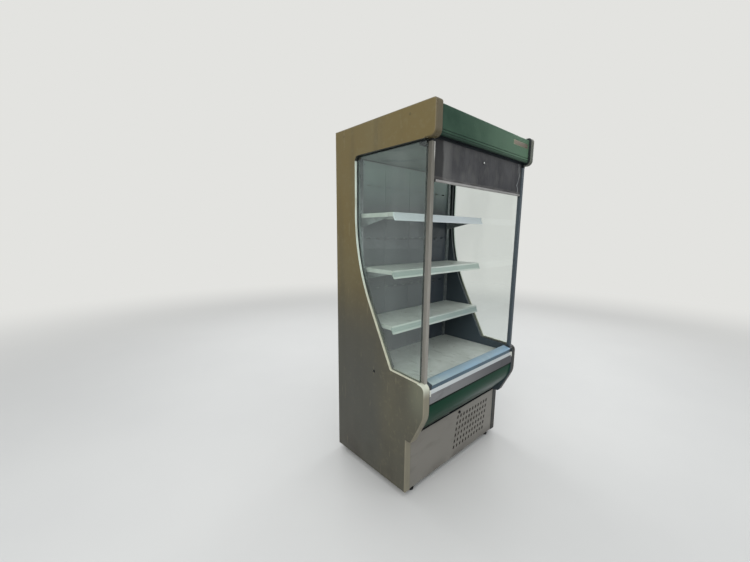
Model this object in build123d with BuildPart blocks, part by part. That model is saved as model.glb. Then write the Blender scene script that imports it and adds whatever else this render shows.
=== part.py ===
from build123d import *
import os

# Open-front refrigerated display cabinet with glazed ends. The origin is on the floor under
# the middle of the cabinet, the open front faces -Y and +X is to the right of a shopper.

# Overall size
cabinet_width = 938
cabinet_height = 1956
front_y = -360
rear_y = 360
rear_inset = 2

# End panels
end_thickness = 43
floor_gap = 30
plinth_front_y = -230
plinth_top_z = 334
nose_front_y = -342
nose_turn_z = 500
nose_heel_y = -264
nose_top_z = 672
nose_top_radius = 34
nose_turn_radius = 120
nose_heel_radius = 22
rim_radius = 8
canopy_height = 154
canopy_top_radius = 18
canopy_chin_radius = 30

# Glazed cut-out of each end
window_rear_y = 182
window_slant_z = 1240
knee_y = -108
knee_z = 683
window_sweep_radius = 1080
window_corner_radius = 24
knee_radius = 12
trim_width = 12
trim_thickness = 3
gasket_width = 16
gasket_thickness = 5
glass_thickness = 12
glass_bite = 3

# Front posts beside the glass
post_width = 22
post_depth = 22
post_rear_y = -301
post_inset = 4
post_socket = 8
post_edge = 1.5

# Insulated rear wall, roof and canopy
rear_wall_thickness = 50
roof_thickness = 24
sheet = 2
fascia_sheet = 3
fascia_y = -346
fascia_top_drop = 10
fascia_height = 130
fascia_bend = 8
fascia_flange = 40
fascia_lip = 2
fascia_grooves = 2
fascia_groove_height = 4
fascia_groove_depth = 1.5
fascia_groove_pitch = 12
seal_thickness = 4
seal_lip = 3
seal_hang = 8
seal_gap = 1.2
plate_width = 174
plate_height = 28
plate_depth = 1.2
plate_edge_gap = 12
plate_top_gap = 27

# Air outlet in the canopy ceiling
outlet_front_y = -294
outlet_depth = 56
outlet_height = 14
outlet_cells = 16
outlet_web = 2.5

# Night blind
blind_y = -314
blind_sheet = 1.6
blind_drop = 166
blind_side_gap = 6
roller_radius = 24
roller_rise = 66
roller_pin = 12
bottom_bar_height = 12
bottom_bar_depth = 10
bottom_bar_edge = 2

# Air duct in front of the rear wall, and the shelf standards on it
duct_y = 204
duct_top_gap = 6
seam_width = 2
seam_depth = 1
seam_count = 3
duct_slot_length = 30
duct_slot_height = 6
duct_slot_count = 10
duct_slot_rise = 163
upright_width = 24
upright_depth = 12
upright_wall = 2
upright_inset = 7
upright_slot_width = 5
upright_slot_height = 12
upright_slot_pitch = 30
upright_slot_below_shelf = 32

# Shelves
lower_shelf_z = 902
shelf_spacing = 300
shelf_front_y = -62
shelf_side_gap = 14
shelf_lip = 22
rail_height = 42
rail_top_depth = 6
rail_tilt = 14
rail_channel_depth = 3
rail_top_bead = 8
rail_foot_bead = 10
rail_bead_radius = 1.5
bracket_sheet = 4
bracket_rear_height = 72
bracket_front_height = 18
bracket_front_gap = 14
hook_depth = 6
hook_height = 8

# Refrigerated well and its deck
deck_drop = 42
deck_sheet = 3
deck_fold = 20
well_front_y = -291
well_turn_z = 530
well_foot_y = -205
well_floor = 46
well_rear_wall = 34
return_width = 60
return_slots = 20
return_web = 9
return_border = 8
under_gap_height = 32
under_gap_depth = 34
under_gap_step = 14

# Front edge: cap, gasket, bumper strip and curved bumper
cap_inner_y = -289
cap_crest_y = -298
cap_outer_y = -337
cap_fall = 10
cap_nose_height = 5
cap_nose_radius = 3
cap_crest_radius = 10
cap_end_gap = 24
rail_gasket_y = -334
rail_gasket_height = 22
strip_height = 71
strip_y = -341
strip_shoulder = 18
strip_edge_radius = 3
front_side_gap = 3
bumper_sheet = 4
bumper_y = -336
bumper_turn_z = 474
bumper_foot_y = -246
bumper_turn_radius = 200

# Plinth
plinth_panel_y = -226
plinth_panel_sheet = 3
plinth_panel_drop = 2
vent_rows = 6
vent_columns = 11
vent_pitch_x = 33
vent_pitch_z = 38
vent_slot_width = 16
vent_slot_height = 22
vent_lean = 0.17
vent_x = 160
vent_z = 186
lock_radius = 9
lock_depth = 6
lock_x = 22
lock_z = 312
frame_tube = 40
back_slot_rows = 6
back_slot_columns = 2
back_slot_height = 9
back_slot_length = 260
back_slot_pitch_x = 340
back_slot_pitch_z = 24
back_slot_z = 190
foot_radius = 16
foot_height = 10
stem_radius = 7
foot_x = 388
plug_radius = 9
plug_y = 18
plug_z = 638
plug_depth = 6
plug_sunk = 1

# Values that follow from the sizes above
window_top_z = cabinet_height - canopy_height
blind_bottom_z = window_top_z - blind_drop
roller_z = window_top_z + roller_rise
duct_top_z = window_top_z - duct_top_gap
half_width = cabinet_width / 2
inner_half = half_width - end_thickness
rear_skin_y = rear_y - rear_inset
rear_wall_y = rear_y - rear_wall_thickness
fascia_top_z = cabinet_height - fascia_top_drop
fascia_bottom_z = fascia_top_z - fascia_height
fascia_foot_y = fascia_y + fascia_lip + fascia_bend
roof_top_z = fascia_top_z - fascia_sheet
trim_x = half_width - trim_width
glass_x = trim_x - (gasket_width - glass_thickness) / 2
gasket_x = trim_x
post_x = inner_half - post_inset
post_front_y = post_rear_y - post_depth
post_bottom_z = nose_top_z - post_socket
upright_x = inner_half - upright_inset - upright_width / 2
upright_y = duct_y - upright_depth
shelf_half = inner_half - shelf_side_gap
shelf_rear_y = upright_y - sheet
cap_outer_z = nose_top_z - cap_fall
cap_base_z = cap_outer_z - cap_nose_height
strip_top_z = cap_base_z - rail_gasket_height
strip_bottom_z = strip_top_z - strip_height
front_half = inner_half - front_side_gap
bumper_foot_z = plinth_top_z + under_gap_height
under_gap_y = bumper_foot_y + under_gap_depth
deck_z = nose_top_z - deck_drop
deck_front_y = cap_inner_y + return_width
deck_rear_y = duct_y + sheet
well_y = bumper_y + bumper_sheet
shelf_levels = {
    "lower": lower_shelf_z,
    "middle": lower_shelf_z + shelf_spacing,
    "upper": lower_shelf_z + 2 * shelf_spacing,
}

os.makedirs("parts", exist_ok=True)


def save(piece, name):
    """Label one finished piece and write it to its own file."""
    piece.label = name
    export_step(piece, f"parts/{name}.step")


def round_corner(sketch, at, radius):
    """Round the corner of a sketch that is nearest to a point."""
    fillet(sketch.vertices().sort_by_distance(at)[0], radius=radius)


def block(x0, x1, y0, y1, z0, z1):
    """A plain rectangular body between two opposite corners."""
    with BuildPart() as body:
        with Locations(((x0 + x1) / 2, (y0 + y1) / 2, (z0 + z1) / 2)):
            Box(abs(x1 - x0), abs(y1 - y0), abs(z1 - z0))
    return body.part


def bent_sheet(points, bend, thickness, side):
    """Section of a folded sheet in the YZ plane, with one bend radius at every fold."""
    with BuildSketch() as section:
        with BuildLine():
            FilletPolyline(*points, radius=bend)
            offset(amount=thickness, side=side)
        make_face()
    return section.sketch


def sill_z(y):
    """Height of the window's nearly level sill at a depth y."""
    slope = (knee_z - nose_top_z) / (knee_y - nose_front_y)
    return knee_z - slope * (knee_y - y)


def window_outline(front_edge_y, shrink=0):
    """Glazed cut-out seen from the side: straight top, swept rear edge and slanted foot."""
    with BuildSketch() as window:
        with BuildLine():
            Polyline(
                (front_edge_y, window_top_z),
                (window_rear_y, window_top_z),
                (window_rear_y, window_slant_z),
                (knee_y, knee_z),
                (front_edge_y, sill_z(front_edge_y)),
                close=True,
            )
        make_face()
        round_corner(window, (window_rear_y, window_top_z), window_corner_radius)
        round_corner(window, (window_rear_y, window_slant_z), window_sweep_radius)
        round_corner(window, (knee_y, knee_z), knee_radius)
        if shrink:
            offset(amount=-shrink, kind=Kind.INTERSECTION, mode=Mode.REPLACE)
    return window.sketch


def along_x(section, x0, x1):
    """Extrude a YZ section from x0 to x1."""
    with BuildPart() as body:
        with BuildSketch(Plane.YZ.offset(min(x0, x1))):
            add(section)
        extrude(amount=abs(x1 - x0))
    return body.part


def end_panel(side):
    """Moulded end: canopy cheek, rear stile, lower cheek with its nose, and plinth."""
    with BuildSketch() as outline:
        with BuildLine():
            Polyline(
                (rear_y, floor_gap),
                (rear_y, cabinet_height),
                (front_y, cabinet_height),
                (front_y, window_top_z),
                (post_rear_y, window_top_z),
                (post_rear_y, sill_z(post_rear_y)),
                (nose_front_y, nose_top_z),
                (nose_front_y, nose_turn_z),
                (nose_heel_y, plinth_top_z),
                (plinth_front_y, plinth_top_z),
                (plinth_front_y, floor_gap),
                close=True,
            )
        make_face()
        round_corner(outline, (front_y, cabinet_height), canopy_top_radius)
        round_corner(outline, (front_y, window_top_z), canopy_chin_radius)
        round_corner(outline, (nose_front_y, nose_top_z), nose_top_radius)
        round_corner(outline, (nose_front_y, nose_turn_z), nose_turn_radius)
        round_corner(outline, (nose_heel_y, plinth_top_z), nose_heel_radius)
    start = -half_width if side < 0 else inner_half
    with BuildPart() as panel:
        with BuildSketch(Plane.YZ.offset(start)):
            add(outline.sketch)
        extrude(amount=end_thickness)
        rim = panel.faces().sort_by(Axis.X)[0 if side < 0 else -1].edges()
        fillet(rim, radius=rim_radius)
        with BuildSketch(Plane.YZ.offset(start)):
            add(window_outline(post_front_y - 1))
        extrude(amount=end_thickness, mode=Mode.SUBTRACT)
        add(front_post(side), mode=Mode.SUBTRACT)
        with BuildSketch(Plane.YZ.offset(side * half_width)):
            with Locations((plug_y, plug_z)):
                Circle(plug_radius)
        extrude(amount=-side * plug_depth, mode=Mode.SUBTRACT)
    return panel.part


def front_post(side):
    """Square tube from the nose of the lower cheek up into the canopy cheek."""
    centre = Vector(side * (post_x + post_width / 2), post_rear_y - post_depth / 2)
    with BuildPart() as post:
        with BuildSketch(Plane.XY.offset(post_bottom_z)):
            with Locations(centre):
                tube = Rectangle(post_width, post_depth)
            chamfer(tube.vertices(), length=post_edge)
        extrude(amount=window_top_z - post_bottom_z)
    return post.part


def window_trim(side):
    """Pale edging that lines the cut-out on its outer side."""
    with BuildSketch() as band:
        add(window_outline(post_rear_y))
        add(window_outline(post_rear_y, trim_thickness), mode=Mode.SUBTRACT)
        with BuildLine():
            Polyline((post_front_y, 0), (post_rear_y + trim_thickness, 0),
                     (post_rear_y + trim_thickness, cabinet_height),
                     (post_front_y, cabinet_height), close=True)
        make_face(mode=Mode.SUBTRACT)
    return along_x(band.sketch, side * trim_x, side * half_width)


def end_glass(side):
    """Flat pane from the front post to the swept rear edge."""
    bite = gasket_thickness - glass_bite
    pane = window_outline(post_rear_y - bite, bite)
    return along_x(pane, side * (glass_x - glass_thickness), side * glass_x)


def glass_gasket(side):
    """Rubber channel that holds the pane on every edge but the one at the post."""
    with BuildSketch() as band:
        add(window_outline(post_rear_y))
        add(window_outline(post_rear_y - gasket_thickness, gasket_thickness), mode=Mode.SUBTRACT)
    channel = along_x(band.sketch, side * (gasket_x - gasket_width), side * gasket_x)
    return channel - end_glass(side)


sides = {"left": -1, "right": 1}
for name, side in sides.items():
    save(end_panel(side), f"{name}_end_panel")
    save(front_post(side), f"{name}_front_post")
    save(window_trim(side), f"{name}_window_trim")
    save(end_glass(side), f"{name}_end_glass")
    save(glass_gasket(side), f"{name}_glass_gasket")

# Rear wall and roof close the cabinet between the two ends.
save(block(-inner_half, inner_half, rear_wall_y, rear_skin_y, plinth_top_z, roof_top_z),
     "rear_wall")
save(block(-inner_half, inner_half, fascia_y + fascia_bend, rear_wall_y,
           roof_top_z - roof_thickness, roof_top_z), "roof_panel")

# Canopy fascia: one folded sheet with a short lip, and a sunk place for a name plate.
fascia_points = [
    (fascia_y + fascia_flange, fascia_top_z),
    (fascia_y, fascia_top_z),
    (fascia_y, fascia_bottom_z),
    (fascia_foot_y, fascia_bottom_z),
]
with BuildPart() as canopy_fascia:
    add(along_x(bent_sheet(fascia_points, fascia_bend, fascia_sheet, Side.LEFT),
                -inner_half, inner_half))
    with Locations((inner_half - plate_edge_gap - plate_width / 2, fascia_y,
                    fascia_top_z - plate_top_gap - plate_height / 2)):
        Box(plate_width, 2 * plate_depth, plate_height, mode=Mode.SUBTRACT)
    for groove in range(fascia_grooves):
        with Locations((0, fascia_y, fascia_bottom_z + fascia_groove_pitch * (groove + 1))):
            Box(2 * inner_half, 2 * fascia_groove_depth, fascia_groove_height, mode=Mode.SUBTRACT)
save(canopy_fascia.part, "canopy_fascia")

# Rubber under the canopy: it closes the space to the blind and hangs a lip in front of it.
seal_rear_y = blind_y - blind_sheet / 2 - seal_gap
with BuildSketch() as seal_section:
    with BuildLine():
        Polyline((fascia_foot_y, fascia_bottom_z), (fascia_foot_y, fascia_bottom_z + seal_thickness),
                 (seal_rear_y, fascia_bottom_z + seal_thickness),
                 (seal_rear_y, fascia_bottom_z - seal_hang),
                 (seal_rear_y - seal_lip, fascia_bottom_z - seal_hang),
                 (seal_rear_y - seal_lip, fascia_bottom_z), close=True)
    make_face()
save(along_x(seal_section.sketch, -inner_half, inner_half), "canopy_seal")

# Canopy ceiling and the air outlet in it, behind the night blind.
outlet_rear_y = outlet_front_y + outlet_depth
save(block(-inner_half, inner_half, outlet_rear_y, duct_y, window_top_z - sheet, window_top_z),
     "canopy_ceiling")
cell_pitch = (2 * inner_half - outlet_web) / outlet_cells
with BuildPart() as air_outlet_grille:
    with BuildSketch(Plane.XY.offset(window_top_z - outlet_height)):
        with Locations((0, (outlet_front_y + outlet_rear_y) / 2)):
            Rectangle(2 * inner_half, outlet_depth)
            with GridLocations(cell_pitch, outlet_depth / 2, outlet_cells, 2):
                Rectangle(cell_pitch - outlet_web, outlet_depth / 2 - outlet_web,
                          mode=Mode.SUBTRACT)
    extrude(amount=outlet_height)
save(air_outlet_grille.part, "air_outlet_grille")

# Night blind: roller tube on two square pins, the hanging sheet and its bottom bar.
blind_half = post_x - blind_side_gap
roller_y = blind_y + blind_sheet / 2 + roller_radius
with BuildPart() as blind_roller:
    with BuildSketch(Plane.YZ.offset(-blind_half)):
        with Locations((roller_y, roller_z)):
            Circle(roller_radius)
    extrude(amount=2 * blind_half)
    with BuildSketch(Plane.YZ.offset(-inner_half)):
        with Locations((roller_y, roller_z)):
            Rectangle(roller_pin, roller_pin)
    extrude(amount=2 * inner_half)
save(blind_roller.part, "blind_roller")
save(block(-blind_half, blind_half, blind_y - blind_sheet / 2, blind_y + blind_sheet / 2,
           blind_bottom_z, roller_z), "night_blind")
with BuildPart() as blind_bottom_bar:
    with BuildSketch(Plane.YZ.offset(-blind_half)):
        with Locations((blind_y, blind_bottom_z - bottom_bar_height / 2)):
            bar = Rectangle(bottom_bar_depth, bottom_bar_height)
        chamfer(bar.vertices(), length=bottom_bar_edge)
    extrude(amount=2 * blind_half)
save(blind_bottom_bar.part, "blind_bottom_bar")

# Rear air duct panel, grooved at its seams and slotted above each shelf.
duct_height = duct_top_z - deck_z
slot_span = 2 * (upright_x - upright_width)
with BuildPart() as inner_back_panel:
    with Locations((0, duct_y + sheet / 2, deck_z + duct_height / 2)):
        Box(2 * inner_half, sheet, duct_height)
    with Locations((0, duct_y, deck_z + duct_height / 2)):
        with GridLocations(2 * inner_half / (seam_count + 1), 1, seam_count, 1):
            Box(seam_width, 2 * seam_depth, duct_height, mode=Mode.SUBTRACT)
    for level in shelf_levels.values():
        with Locations((0, duct_y + sheet / 2, level + duct_slot_rise)):
            with GridLocations(slot_span / duct_slot_count, 1, duct_slot_count, 1):
                Box(duct_slot_length, 2 * sheet, duct_slot_height, mode=Mode.SUBTRACT)
save(inner_back_panel.part, "inner_back_panel")

# Heights of the bracket slots in the uprights, in step with the shelves.
first_slot_z = lower_shelf_z - upright_slot_below_shelf
while first_slot_z - upright_slot_pitch > deck_z + upright_slot_pitch:
    first_slot_z -= upright_slot_pitch
slot_count = int((duct_top_z - upright_slot_pitch - first_slot_z) / upright_slot_pitch)
slot_heights = [first_slot_z + upright_slot_pitch * n for n in range(slot_count)]


def upright(side):
    """Channel standard with a ladder of slots for the shelf brackets."""
    with BuildPart() as standard:
        with BuildSketch(Plane.XY.offset(deck_z)):
            with Locations((side * upright_x, upright_y + upright_depth / 2)):
                Rectangle(upright_width, upright_depth)
            with Locations((side * upright_x, duct_y - upright_depth / 2 + upright_wall)):
                Rectangle(upright_width - 2 * upright_wall, upright_depth, mode=Mode.SUBTRACT)
        extrude(amount=duct_height)
        with Locations([(side * upright_x, upright_y, z) for z in slot_heights]):
            Box(upright_slot_width, 3 * upright_wall, upright_slot_height, mode=Mode.SUBTRACT)
    return standard.part


for name, side in sides.items():
    save(upright(side), f"{name}_upright")


def shelf_pan(level):
    """Folded steel shelf, open underneath, with a lip all round."""
    depth = shelf_rear_y - shelf_front_y
    with BuildPart() as pan:
        with Locations((0, shelf_front_y + depth / 2, level - shelf_lip / 2)):
            Box(2 * shelf_half, depth, shelf_lip)
        with Locations((0, shelf_front_y + depth / 2, level - sheet - shelf_lip / 2)):
            Box(2 * (shelf_half - sheet), depth - 2 * sheet, shelf_lip, mode=Mode.SUBTRACT)
    return pan.part


def price_rail(level):
    """Tilted label rail on a shelf's front lip: a label channel between two round beads."""
    top_y = shelf_front_y - rail_top_depth
    foot_y = top_y - rail_tilt
    foot_z = level - rail_height

    def on_face(drop, depth=0):
        """Point on the rail's tilted face, at a drop below the shelf."""
        return (top_y - rail_tilt * drop / rail_height + depth, level - drop)

    with BuildSketch() as section:
        with BuildLine():
            Polyline((shelf_front_y, level), (top_y, level), on_face(rail_top_bead),
                     on_face(rail_top_bead, rail_channel_depth),
                     on_face(rail_height - rail_foot_bead, rail_channel_depth),
                     on_face(rail_height - rail_foot_bead), (foot_y, foot_z),
                     (foot_y + rail_top_depth, foot_z), (shelf_front_y, level - shelf_lip),
                     close=True)
        make_face()
        round_corner(section, (top_y, level), rail_bead_radius)
        round_corner(section, on_face(rail_top_bead), rail_bead_radius)
        round_corner(section, on_face(rail_height - rail_foot_bead), rail_bead_radius)
        round_corner(section, (foot_y, foot_z), rail_bead_radius)
    return along_x(section.sketch, -shelf_half, shelf_half)


def shelf_brackets(level):
    """Pair of tapered brackets under a shelf, hooked into the uprights."""
    inside_y = shelf_rear_y - sheet
    front = shelf_front_y + bracket_front_gap
    top = level - sheet
    foot = top - bracket_rear_height
    lip_z = level - shelf_lip
    held = [z for z in slot_heights if foot + hook_height < z < lip_z - hook_height / 2]
    with BuildSketch() as section:
        with BuildLine():
            Polyline((inside_y, top), (front, top), (front, top - bracket_front_height),
                     (inside_y, foot), close=True)
        make_face()
        with BuildLine():
            Polyline((inside_y, lip_z), (upright_y, lip_z), (upright_y, foot), (inside_y, foot),
                     close=True)
        make_face()
        for z in held:
            with Locations((upright_y + hook_depth / 2, z)):
                Rectangle(hook_depth, hook_height)
    with BuildPart() as pair:
        for side in sides.values():
            centre = side * upright_x
            add(along_x(section.sketch, centre - bracket_sheet / 2, centre + bracket_sheet / 2))
    return pair.part


for name, level in shelf_levels.items():
    save(shelf_pan(level), f"{name}_shelf")
    save(price_rail(level), f"{name}_price_rail")
    save(shelf_brackets(level), f"{name}_shelf_brackets")


def front_shell(inset):
    """Points of the cabinet's curved front below the bumper strip, set back by an inset."""
    return [
        (bumper_y + inset, strip_bottom_z),
        (bumper_y + inset, bumper_turn_z),
        (bumper_foot_y + inset, bumper_foot_z),
    ]


# Refrigerated well: an insulated trough between the ends, under the deck.
with BuildSketch() as well_section:
    with BuildLine():
        Polyline((well_y, cap_base_z), *front_shell(bumper_sheet),
                 (under_gap_y, bumper_foot_z - under_gap_step), (under_gap_y, plinth_top_z),
                 (rear_wall_y, plinth_top_z), (rear_wall_y, deck_z - deck_sheet),
                 (rear_wall_y - well_rear_wall, deck_z - deck_sheet),
                 (rear_wall_y - well_rear_wall, plinth_top_z + well_floor),
                 (well_foot_y, plinth_top_z + well_floor), (well_front_y, well_turn_z),
                 (well_front_y, cap_base_z), close=True)
    make_face()
    round_corner(well_section, (well_y, bumper_turn_z), bumper_turn_radius - bumper_sheet)
save(along_x(well_section.sketch, -inner_half, inner_half), "well_tank")

# Curved bumper sheet below the strip.
with BuildSketch() as bumper_section:
    with BuildLine():
        Polyline(*front_shell(0), *reversed(front_shell(bumper_sheet)), close=True)
    make_face()
    round_corner(bumper_section, (bumper_y, bumper_turn_z), bumper_turn_radius)
    round_corner(bumper_section, (well_y, bumper_turn_z), bumper_turn_radius - bumper_sheet)
save(along_x(bumper_section.sketch, -front_half, front_half), "front_bumper")

# Metal bumper strip under the front edge.
with BuildSketch() as strip_section:
    with BuildLine():
        Polyline((well_y, strip_bottom_z), (strip_y, strip_bottom_z),
                 (strip_y, strip_top_z - strip_shoulder), (rail_gasket_y, strip_top_z),
                 (well_y, strip_top_z), close=True)
    make_face()
    round_corner(strip_section, (strip_y, strip_top_z - strip_shoulder), strip_edge_radius)
    round_corner(strip_section, (strip_y, strip_bottom_z), strip_edge_radius)
save(along_x(strip_section.sketch, -front_half, front_half), "bumper_strip")

# Sloping cap of the front edge, and the rubber under it with a moulded corner at each end.
cap_half = inner_half - cap_end_gap
with BuildSketch() as cap_section:
    with BuildLine():
        Polyline((cap_outer_y, cap_base_z), (cap_outer_y, cap_outer_z), (cap_crest_y, nose_top_z),
                 (cap_inner_y, nose_top_z), (cap_inner_y, deck_z), (well_front_y, deck_z),
                 (well_front_y, cap_base_z), close=True)
    make_face()
    round_corner(cap_section, (cap_outer_y, cap_outer_z), cap_nose_radius)
    round_corner(cap_section, (cap_crest_y, nose_top_z), cap_crest_radius)
save(along_x(cap_section.sketch, -cap_half, cap_half), "front_cap")
with BuildPart() as rail_gasket:
    add(block(-inner_half, inner_half, rail_gasket_y, well_y, strip_top_z, cap_base_z))
    for side in sides.values():
        add(along_x(cap_section.sketch, side * cap_half, side * inner_half))
        add(front_post(side), mode=Mode.SUBTRACT)
save(rail_gasket.part, "rail_gasket")

# Slotted air return behind the front edge, and the deck behind it.
with BuildPart() as air_return_grille:
    with BuildSketch(Plane.XY.offset(deck_z - deck_sheet)):
        with Locations((0, cap_inner_y + return_width / 2)):
            Rectangle(2 * inner_half, return_width)
            with GridLocations(2 * inner_half / return_slots, 1, return_slots, 1):
                Rectangle(2 * inner_half / return_slots - return_web,
                          return_width - 2 * return_border, mode=Mode.SUBTRACT)
    extrude(amount=deck_sheet)
save(air_return_grille.part, "air_return_grille")
with BuildPart() as deck_pan:
    with Locations((0, (deck_front_y + deck_rear_y) / 2, deck_z - deck_sheet / 2)):
        Box(2 * inner_half, deck_rear_y - deck_front_y, deck_sheet)
    with Locations((0, deck_front_y + deck_sheet / 2, deck_z - deck_fold / 2)):
        Box(2 * inner_half, deck_sheet, deck_fold)
save(deck_pan.part, "deck_pan")

# Plinth: frame, vented front panel with its lock, louvred back panel and feet.
frame_front_y = plinth_panel_y + plinth_panel_sheet
frame_rear_y = rear_skin_y - plinth_panel_sheet
post_x_centre = inner_half - frame_tube / 2
with BuildPart() as base_frame:
    with BuildSketch(Plane.XY.offset(floor_gap)):
        with Locations((0, (frame_front_y + frame_rear_y) / 2)):
            Rectangle(2 * inner_half, frame_rear_y - frame_front_y)
            Rectangle(2 * (inner_half - frame_tube), frame_rear_y - frame_front_y - 2 * frame_tube,
                      mode=Mode.SUBTRACT)
    extrude(amount=frame_tube)
    with BuildSketch(Plane.XY.offset(floor_gap)):
        with Locations((0, (frame_front_y + frame_rear_y) / 2)):
            with GridLocations(2 * post_x_centre, frame_rear_y - frame_front_y - frame_tube, 2, 2):
                Rectangle(frame_tube, frame_tube)
    extrude(amount=plinth_top_z - floor_gap)
save(base_frame.part, "base_frame")

# The vent's leaning slots stand in rows that step aside by the same lean.
slot_lean = vent_lean * vent_slot_height / 2
slot_points = [
    (-vent_slot_width / 2 - slot_lean, -vent_slot_height / 2),
    (vent_slot_width / 2 - slot_lean, -vent_slot_height / 2),
    (vent_slot_width / 2 + slot_lean, vent_slot_height / 2),
    (-vent_slot_width / 2 + slot_lean, vent_slot_height / 2),
]
with BuildPart() as base_front_panel:
    with BuildSketch(Plane.XZ.offset(-plinth_panel_y)):
        with Locations((0, (floor_gap + plinth_top_z - plinth_panel_drop) / 2)):
            Rectangle(2 * inner_half, plinth_top_z - plinth_panel_drop - floor_gap)
        for row in range(vent_rows):
            rise = (row - (vent_rows - 1) / 2) * vent_pitch_z
            with Locations((vent_x + vent_lean * rise, vent_z + rise)):
                with GridLocations(vent_pitch_x, 1, vent_columns, 1):
                    Polygon(*slot_points, mode=Mode.SUBTRACT)
    extrude(amount=-plinth_panel_sheet)
save(base_front_panel.part, "base_front_panel")
with BuildPart() as base_lock:
    with BuildSketch(Plane.XZ.offset(-plinth_panel_y)):
        with Locations((lock_x, lock_z)):
            Circle(lock_radius)
    extrude(amount=lock_depth)
save(base_lock.part, "base_lock")
with BuildPart() as base_back_panel:
    with BuildSketch(Plane.XZ.offset(-rear_skin_y)):
        with Locations((0, (floor_gap + plinth_top_z) / 2)):
            Rectangle(2 * inner_half, plinth_top_z - floor_gap)
        with Locations((0, back_slot_z)):
            with GridLocations(back_slot_pitch_x, back_slot_pitch_z, back_slot_columns, back_slot_rows):
                Rectangle(back_slot_length, back_slot_height, mode=Mode.SUBTRACT)
    extrude(amount=plinth_panel_sheet)
save(base_back_panel.part, "base_back_panel")

with BuildPart() as adjustable_feet:
    with BuildSketch(Plane.XY):
        with Locations((0, (frame_front_y + frame_rear_y) / 2)):
            with GridLocations(2 * foot_x, frame_rear_y - frame_front_y - frame_tube, 2, 2):
                Circle(foot_radius)
    extrude(amount=foot_height)
    with BuildSketch(Plane.XY):
        with Locations((0, (frame_front_y + frame_rear_y) / 2)):
            with GridLocations(2 * foot_x, frame_rear_y - frame_front_y - frame_tube, 2, 2):
                RegularPolygon(stem_radius, 6)
    extrude(amount=floor_gap)
save(adjustable_feet.part, "adjustable_feet")

with BuildPart() as side_plugs:
    for side in sides.values():
        with BuildSketch(Plane.YZ.offset(side * (half_width - plug_depth))):
            with Locations((plug_y, plug_z)):
                Circle(plug_radius)
        extrude(amount=side * (plug_depth - plug_sunk))
save(side_plugs.part, "side_plugs")
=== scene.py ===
import math

import bpy
from mathutils import Matrix, Vector


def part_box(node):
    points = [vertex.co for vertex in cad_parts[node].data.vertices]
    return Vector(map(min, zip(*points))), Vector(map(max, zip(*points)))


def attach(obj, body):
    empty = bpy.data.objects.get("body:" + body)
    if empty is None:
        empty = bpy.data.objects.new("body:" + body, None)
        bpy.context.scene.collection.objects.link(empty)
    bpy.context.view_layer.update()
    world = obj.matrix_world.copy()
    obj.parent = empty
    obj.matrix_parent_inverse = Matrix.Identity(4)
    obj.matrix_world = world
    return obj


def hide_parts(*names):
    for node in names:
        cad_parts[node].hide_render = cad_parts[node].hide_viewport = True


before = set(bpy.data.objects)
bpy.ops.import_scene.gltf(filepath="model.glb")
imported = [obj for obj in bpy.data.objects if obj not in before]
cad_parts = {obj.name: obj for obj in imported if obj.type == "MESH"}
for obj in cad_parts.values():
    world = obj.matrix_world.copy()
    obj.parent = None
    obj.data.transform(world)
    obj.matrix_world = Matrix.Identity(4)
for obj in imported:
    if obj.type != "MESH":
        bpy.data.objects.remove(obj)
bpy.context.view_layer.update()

# Viewpoint, floor and light.
# The cabinet is seen from the front left at head height, through a wide lens. The floor is pale
# and plain, and soft panels and an even sky give light from all sides.
scene = bpy.context.scene
scene.view_settings.view_transform = "Standard"

eye = (-1.640, -1.291, 1.393)
heading, looking_down, leaning = -42.25, 9.43, 0.43
lens = bpy.data.cameras.new("main_view")
lens.lens = 16.0
lens.sensor_width = 36.0
lens.shift_x = -0.00253
lens.shift_y = 0.0107
viewer = bpy.data.objects.new("main_view", lens)
scene.collection.objects.link(viewer)
viewer.matrix_world = (
    Matrix.Translation(eye)
    @ Matrix.Rotation(math.radians(heading), 4, "Z")
    @ Matrix.Rotation(math.radians(90 - looking_down), 4, "X")
    @ Matrix.Rotation(math.radians(leaning), 4, "Z")
)
scene.camera = viewer


def linear(code):
    """A paint's six-digit screen code as the linear colour that a shader takes."""
    parts = [int(code[i : i + 2], 16) / 255 for i in (0, 2, 4)]
    return (*(p / 12.92 if p <= 0.04045 else ((p + 0.055) / 1.055) ** 2.4 for p in parts), 1.0)


class Value:
    """A number or colour inside a finish. Arithmetic on it adds the Math nodes it needs."""

    def __init__(self, finish, socket):
        self.finish = finish
        self.socket = socket

    def maths(self, operation, *others):
        terms = dict(enumerate((self, *others)))
        return self.finish.node("ShaderNodeMath", {"operation": operation}, terms)

    def __add__(self, other):
        return self.maths("ADD", other)

    def __sub__(self, other):
        return self.maths("SUBTRACT", other)

    def __rsub__(self, other):
        return self.maths("MULTIPLY_ADD", -1.0, other)

    def __mul__(self, other):
        return self.maths("MULTIPLY", other)

    __radd__ = __add__
    __rmul__ = __mul__

    def __mod__(self, other):
        return self.maths("FLOORED_MODULO", other)

    def size(self):
        return self.maths("ABSOLUTE")

    def rise(self, start, end):
        """0 before start and 1 past end, smooth between; a start above the end makes it fall."""
        low, high, first, last = (start, end, 0.0, 1.0) if start < end else (end, start, 1.0, 0.0)
        span = {"Value": self, "From Min": low, "From Max": high, "To Min": first, "To Max": last}
        return self.finish.node("ShaderNodeMapRange", {"interpolation_type": "SMOOTHSTEP"}, span)


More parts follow.
